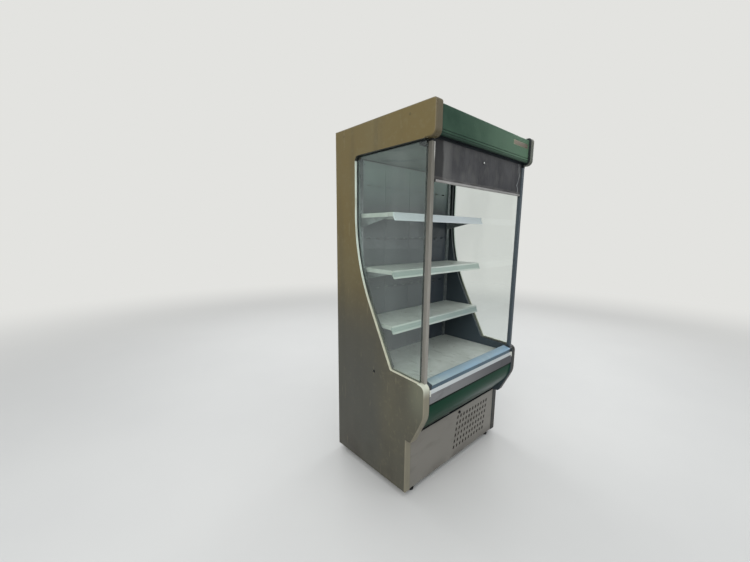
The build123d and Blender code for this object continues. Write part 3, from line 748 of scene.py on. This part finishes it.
fixed(blind, "night_blind_cloth", cloth_paint)
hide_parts("night_blind")

hem_finish = Finish("dull_hem_bar")
hem_wear = hem_finish.noise(30, 4, stretch=(0.2, 1, 1)).rise(0.4, 0.7)
hem_paint = hem_finish.all_over(
    Base_Color=hem_finish.mix(hem_wear, "7f7d7a", "a3a29f"),
    Metallic=0.3,
    Roughness=hem_wear * 0.2 + 0.42,
    Normal=hem_finish.relief(hem_wear, 0.15, 0.0004),
)
low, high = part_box("blind_bottom_bar")
bar = sized_block(low, high, bevel=0.0025, segments=3)
fixed(bar, "blind_hem_bar", hem_paint)
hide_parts("blind_bottom_bar")
clip_wall, clip_reach = 0.001, 0.009
clip = sized_block(
    (low.x - clip_wall, low.y - clip_wall, low.z - clip_wall),
    (low.x + clip_reach, high.y + clip_wall, high.z + clip_wall),
    bevel=0.002,
)
fixed(clip, "blind_end_clip", plug_paint)

white_plastic = Finish("white_moulding")
button_paint = white_plastic.all_over(
    Base_Color=white_plastic.mix(white_plastic.noise(200, 3), "c9ccc9", "dedfda"),
    Roughness=white_plastic.noise(90) * 0.2 + 0.3,
)
button_x, button_z = -0.010, 1.760
button_spot = (button_x, blind_plane - 0.0040, button_z)
ring_spot = (button_x, blind_plane - 0.0028, button_z)
button = turned_disc(radius=0.0045, depth=0.003, bevel=0.001)
button = copied(button, [button_spot], toward=(0, -1, 0))
fixed(button, "blind_button", button_paint)
ring = turned_disc(radius=0.0068, depth=0.0014, bevel=0.0005)
ring = copied(ring, [ring_spot], toward=(0, -1, 0))
fixed(ring, "blind_button_ring", plug_paint)

# Inner back and uprights.
# The air duct cover is a dark grey enamelled sheet, slotted over each shelf. It is a little
# paler to the left and painted much paler at the top as light from above, and damp from the cold
# air has stained it.
back_finish = Finish("dark_duct_enamel")
damp = back_finish.noise(6, 5, stretch=(1, 1, 0.2)).rise(0.35, 0.72)
paler_left = back_finish.axis("x").rise(0.25, -0.4)
back_colour = back_finish.mix(paler_left, "333a42", "4d5556")
# Much paler at the top: painted light from above.
painted_top_light = back_finish.axis("z").rise(1.50, 1.80)
back_colour = back_finish.mix(painted_top_light * 0.9, back_colour, "b3c6c1")
back_colour = back_finish.mix(damp * 0.25, back_colour, "636c6c")
back_paint = back_finish.all_over(
    Base_Color=back_colour,
    Roughness=damp * 0.2 + 0.35,
    Normal=back_finish.relief(back_finish.noise(430, 2), 0.12, 0.0004),
)
dress(back_paint, "inner_back_panel")
back_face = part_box("inner_back_panel")[0].y
on_back = back_face - head_depth / 2
back_spots = [(x, on_back, z) for x in (-0.375, 0.0, 0.375) for z in (0.66, 1.775)]
back_screws = copied(cross_head(), back_spots, toward=(0, -1, 0))
fixed(back_screws, "back_panel_screws", screw_paint)

# Shelves and deck.
# Folded steel pans in grey-white enamel on plated brackets, and the loose deck with its slotted
# air return. The tops are scuffed, and rust shows where the enamel is rubbed through.
white_finish = Finish("shelf_white_enamel")
washed = white_finish.noise(12, 4).rise(0.35, 0.7)
marks = white_finish.noise(34, 5, stretch=(1, 0.3, 1)).rise(0.56, 0.74)
upward = white_finish.facing("z").rise(0.5, 0.9)
white = white_finish.mix(washed, "b5bbb4", "c2c8c2")
white = white_finish.mix(marks * upward * 0.45, white, "8a8f88")
worn_front = white_finish.facing("y").rise(-0.5, -0.95) * marks
white = white_finish.mix(worn_front * 0.5, white, "767b78")
rust = white_finish.noise(21, 6).rise(0.69, 0.74)
white = white_finish.mix(rust * 0.6, white, "6f5138")
white_rough = marks * 0.2 + rust * 0.3 + 0.32
white_bumps = white_finish.relief(white_finish.noise(520, 2), 0.12, 0.0004)
white_paint = white_finish.all_over(Base_Color=white, Roughness=white_rough, Normal=white_bumps)
dress(white_paint, "deck_pan", "air_return_grille", "lower_shelf", "middle_shelf", "upper_shelf")
dress(zinc_paint, "lower_shelf_brackets", "middle_shelf_brackets", "upper_shelf_brackets")

# Price rails.
# An off-white vinyl rail along each shelf, with a grey-green label channel between its beads.
# The upper one is painted palest, as the best lit, and the lower one darker toward the right,
# as painted shade.
shelf_pitch, rail_top = 0.3, 0.002
channel_head, channel_foot = 0.0080, 0.0323
rail_finish = Finish("label_rail_vinyl")
under_top = shelf_pitch - (rail_finish.axis("z") - rail_top) % shelf_pitch
channel = under_top.rise(channel_head - 0.0005, channel_head + 0.0005)
channel = channel * under_top.rise(channel_foot + 0.0005, channel_foot - 0.0005)
grubby = rail_finish.noise(16, 4, stretch=(0.4, 1, 1)).rise(0.4, 0.75)
vinyl = rail_finish.mix(grubby * 0.5, "ccd6cd", "a2aaa3")
vinyl = rail_finish.mix(channel * 0.85, vinyl, "97a9a0")
# The upper rail is painted palest as the best lit.
lit_upper = rail_finish.axis("z").rise(1.3, 1.45)
vinyl = rail_finish.mix(lit_upper * 0.85, vinyl, "e6eef3")
# The lower rail darkens toward the right as painted shade; all rails take a little of the grey.
shaded = rail_finish.axis("z").rise(1.1, 1.0) * rail_finish.axis("x").rise(-0.3, 0.3)
vinyl = rail_finish.mix(shaded * 0.45 + 0.12, vinyl, "5e6c6f")
rail_paint = rail_finish.all_over(
    Base_Color=vinyl,
    Roughness=grubby * 0.2 + 0.28,
    Normal=rail_finish.relief(rail_finish.noise(350, 2), 0.1, 0.0003),
)
dress(rail_paint, *[f"{level}_price_rail" for level in ("lower", "middle", "upper")])

# Front edge.
# A pale blue vinyl cap slopes to the front over slate-coloured rubber and the aluminium bumper
# strip. The cap is scratched and dark along its crest, and bluer toward the right with a painted
# sheen. The strip's upward-facing shoulder is painted bright as a highlight, and its face is
# darker toward the right.
cap_finish = Finish("pale_blue_cap")
crest = cap_finish.axis("z").rise(0.664, 0.6715)
cap_scratches = cap_finish.noise(40, 4, stretch=(1, 0.1, 1)).rise(0.56, 0.76)
cap_colour = cap_finish.mix(cap_finish.noise(5, 4), "778e97", "8da4b1")
bluer = cap_finish.noise(14, 4, stretch=(0.5, 1, 1), shift=(2, 0, 0)).rise(0.42, 0.68)
# Bluer toward the right end: a painted sheen, with bluer patches at random.
sheen_right = cap_finish.axis("x").rise(0.0, 0.4)
cap_colour = cap_finish.mix(sheen_right * 0.4 + bluer * 0.35, cap_colour, "6f98b8")
near_cap = cap_finish.axis("x").rise(-0.22, -0.4)
cap_colour = cap_finish.mix(near_cap * 0.6, cap_colour, "98a49a")
cap_colour = cap_finish.mix(cap_scratches * 0.3, cap_colour, "b3c0c4")
cap_colour = cap_finish.mix(crest * 0.35, cap_colour, "5d6f79")
cap_paint = cap_finish.all_over(
    Base_Color=cap_colour,
    Roughness=cap_scratches * 0.15 + 0.34,
    Normal=cap_finish.relief(cap_scratches, 0.1, 0.0004),
)
dress(cap_paint, "front_cap")

slate_finish = Finish("slate_rubber")
slate_bloom = slate_finish.noise(35, 4, stretch=(0.2, 1, 1)).rise(0.4, 0.75)
corner_from = 0.399
corner = slate_finish.axis("x").size().rise(corner_from, corner_from + 0.0025)
slate = slate_finish.mix(slate_bloom, "3f525f", "50646f")
slate = slate_finish.mix(corner, slate, slate_finish.mix(slate_bloom, "1c2327", "39434a"))
slate_paint = slate_finish.all_over(
    Base_Color=slate,
    Roughness=slate_bloom * 0.2 + 0.45,
    Normal=slate_finish.relief(slate_finish.noise(500, 2), 0.2, 0.0004),
    Specular_IOR_Level=0.3,
)
dress(slate_paint, "rail_gasket")

strip_finish = Finish("satin_aluminium")
drawn = strip_finish.noise(420, 3, stretch=(0.012, 1, 1))
knocks = strip_finish.noise(22, 5, stretch=(0.5, 1, 1)).rise(0.55, 0.74)
strip_colour = strip_finish.mix(drawn, "6c6d6e", "828283")
darker_right = strip_finish.axis("x").rise(-0.35, 0.4)
strip_colour = strip_finish.mix(darker_right * 0.85, strip_colour, "26262e")
strip_colour = strip_finish.mix(knocks * 0.3, strip_colour, "4c4c4c")
# The upward-facing shoulder is painted bright: a painted highlight.
shoulder_highlight = strip_finish.facing("z").rise(0.2, 0.34)
strip_colour = strip_finish.mix(shoulder_highlight, strip_colour, strip_finish.mix(drawn, "adb3b4", "c8ccca"))
strip_paint = strip_finish.all_over(
    Base_Color=strip_colour,
    Metallic=0.4,
    Roughness=drawn * 0.12 + knocks * 0.15 + 0.32,
    Normal=strip_finish.relief(drawn, 0.2, 0.0003),
)
dress(strip_paint, "bumper_strip")

cap_end_finish = Finish("ivory_end_cap")
cap_end_paint = cap_end_finish.all_over(
    Base_Color=cap_end_finish.mix(cap_end_finish.noise(130, 4), "b9bcb2", "cfd0c6"),
    Roughness=cap_end_finish.noise(60) * 0.2 + 0.35,
)
low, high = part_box("bumper_strip")
stop_width, stop_lap, stop_drop, stop_lip = 0.010, 0.0012, 0.030, 0.001
for side, start in (("left", low.x), ("right", high.x - stop_width)):
    stop = sized_block(
        (start, low.y - stop_lap, high.z - stop_drop),
        (start + stop_width, high.y, high.z + stop_lip),
        bevel=0.0025,
        segments=3,
    )
    fixed(stop, f"{side}_strip_end", cap_end_paint)

# Curved bumper.
# A rolled sheet in semi-gloss bottle green, rubbed in places. A painted shadow darkens its top
# under the strip, and where it turns under, toward the right, it is shinier and painted greyer
# as a reflection of the floor.
bumper_finish = Finish("bottle_green_enamel")
bumper_rubs = bumper_finish.noise(13, 5, stretch=(0.25, 1, 1)).rise(0.5, 0.75)
bumper_colour = bumper_finish.mix(bumper_finish.noise(4, 3), "07301f", "0e3a2a")
bumper_colour = bumper_finish.mix(bumper_rubs * 0.15, bumper_colour, "243b31")
# A dark band along the bumper's top under the strip: painted shadow.
strip_shadow = bumper_finish.axis("z").rise(0.546, 0.557)
bumper_colour = bumper_finish.mix(strip_shadow * 0.85, bumper_colour, "070c0b")
# Greyer where it turns under, toward the right: a painted reflection of the floor; a clear coat
# there adds gloss.
turned_under_sheen = bumper_finish.axis("z").rise(0.52, 0.42) * bumper_finish.axis("x").rise(-0.42, 0.1)
bumper_colour = bumper_finish.mix(turned_under_sheen * 0.3, bumper_colour, "36454a")
bumper_paint = bumper_finish.all_over(
    Base_Color=bumper_colour,
    Roughness=bumper_rubs * 0.15 + 0.3,
    Normal=bumper_finish.relief(bumper_finish.noise(300, 2), 0.05, 0.0004),
    IOR=1.2,
    Specular_IOR_Level=0.22,
    Coat_Weight=turned_under_sheen * 0.25,
    Coat_Roughness=0.2,
)
dress(bumper_paint, "front_bumper")

# Plinth.
# A removable front panel in warm grey enamel, scuffed, and dirty along its foot. It closes a
# dark frame that stands on four adjustable feet.
plinth_finish = Finish("scuffed_grey_enamel")
plinth_height = plinth_finish.axis("z")
scuffs = plinth_finish.noise(15, 5, stretch=(0.35, 1, 1)).rise(0.52, 0.72)
plinth_mottle = plinth_finish.noise(3, 4)
plinth_colour = plinth_finish.mix(plinth_mottle, "6d6a63", "7a7770")
low_dirt = plinth_height.rise(0.1, 0.03) * plinth_finish.noise(8, 4).rise(0.3, 0.6)
plinth_colour = plinth_finish.mix(low_dirt * 0.5, plinth_colour, "4a453f")
plinth_colour = plinth_finish.mix(scuffs * 0.2, plinth_colour, "55514b")
plinth_paint = plinth_finish.all_over(
    Base_Color=plinth_colour,
    Roughness=scuffs * 0.15 + 0.4,
    Normal=plinth_finish.relief(plinth_finish.noise(420, 2), 0.15, 0.0004),
    Specular_IOR_Level=0.35,
)
dress(plinth_paint, "base_front_panel")

dark_finish = Finish("black_painted_steel")
chips = dark_finish.noise(60, 5).rise(0.62, 0.72)
dark_colour = dark_finish.mix(dark_finish.noise(9, 4), "191b1c", "2a2c2c")
dark_paint = dark_finish.all_over(
    Base_Color=dark_finish.mix(chips * 0.5, dark_colour, "5a5049"),
    Roughness=chips * 0.2 + 0.42,
    Normal=dark_finish.relief(dark_finish.noise(380, 2), 0.2, 0.0005),
    Specular_IOR_Level=0.25,
)
dress(dark_paint, "base_frame", "adjustable_feet")

# Lock: a black barrel with a keyway, pressed into the top edge of the plinth panel. It keeps
# the panel shut.
low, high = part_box("base_lock")
barrel = turned_disc(radius=(high.x - low.x) / 2, depth=high.y - low.y, bevel=0.0012)
recess(barrel, centre=(0, 0, 0.003), sizes=(0.0016, 0.0072, 0.003))
barrel = copied(barrel, [(low + high) / 2], toward=(0, -1, 0))
fixed(barrel, "plinth_lock", plug_paint)
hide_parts("base_lock")

# Condenser filter: a frame of black wire gauze behind the slots, choked with dust, whose dark also
# paints the shade inside the base. A strip of black foam closes the gap over the panel, and its
# black also paints the shade in that gap.
gauze_finish = Finish("dusty_wire_gauze")
wire_wave = 2100
wires = (gauze_finish.axis("x") * wire_wave).maths("SINE")
wires = wires * (gauze_finish.axis("z") * wire_wave).maths("SINE")
lint = gauze_finish.noise(22, 5).rise(0.4, 0.7)
gauze = gauze_finish.mix(wires.rise(0.0, 0.8), "141313", "2c2724")
gauze_paint = gauze_finish.all_over(
    Base_Color=gauze_finish.mix(lint * 0.6, gauze, "4b443c"),
    Roughness=lint * 0.3 + 0.6,
    Normal=gauze_finish.relief(wires, 0.4, 0.0006),
    Specular_IOR_Level=0.2,
)
behind_panel = -0.2220
foam = sized_block(
    (-0.384, behind_panel, 0.316), (0.384, behind_panel + 0.0070, 0.3335), bevel=0.0015
)
fixed(foam, "plinth_foam_strip", seal_paint)
filter_frame = sized_block(
    (-0.050, behind_panel, 0.076), (0.372, behind_panel + 0.0040, 0.306), bevel=0.0008
)
fixed(filter_frame, "condenser_filter", gauze_paint)
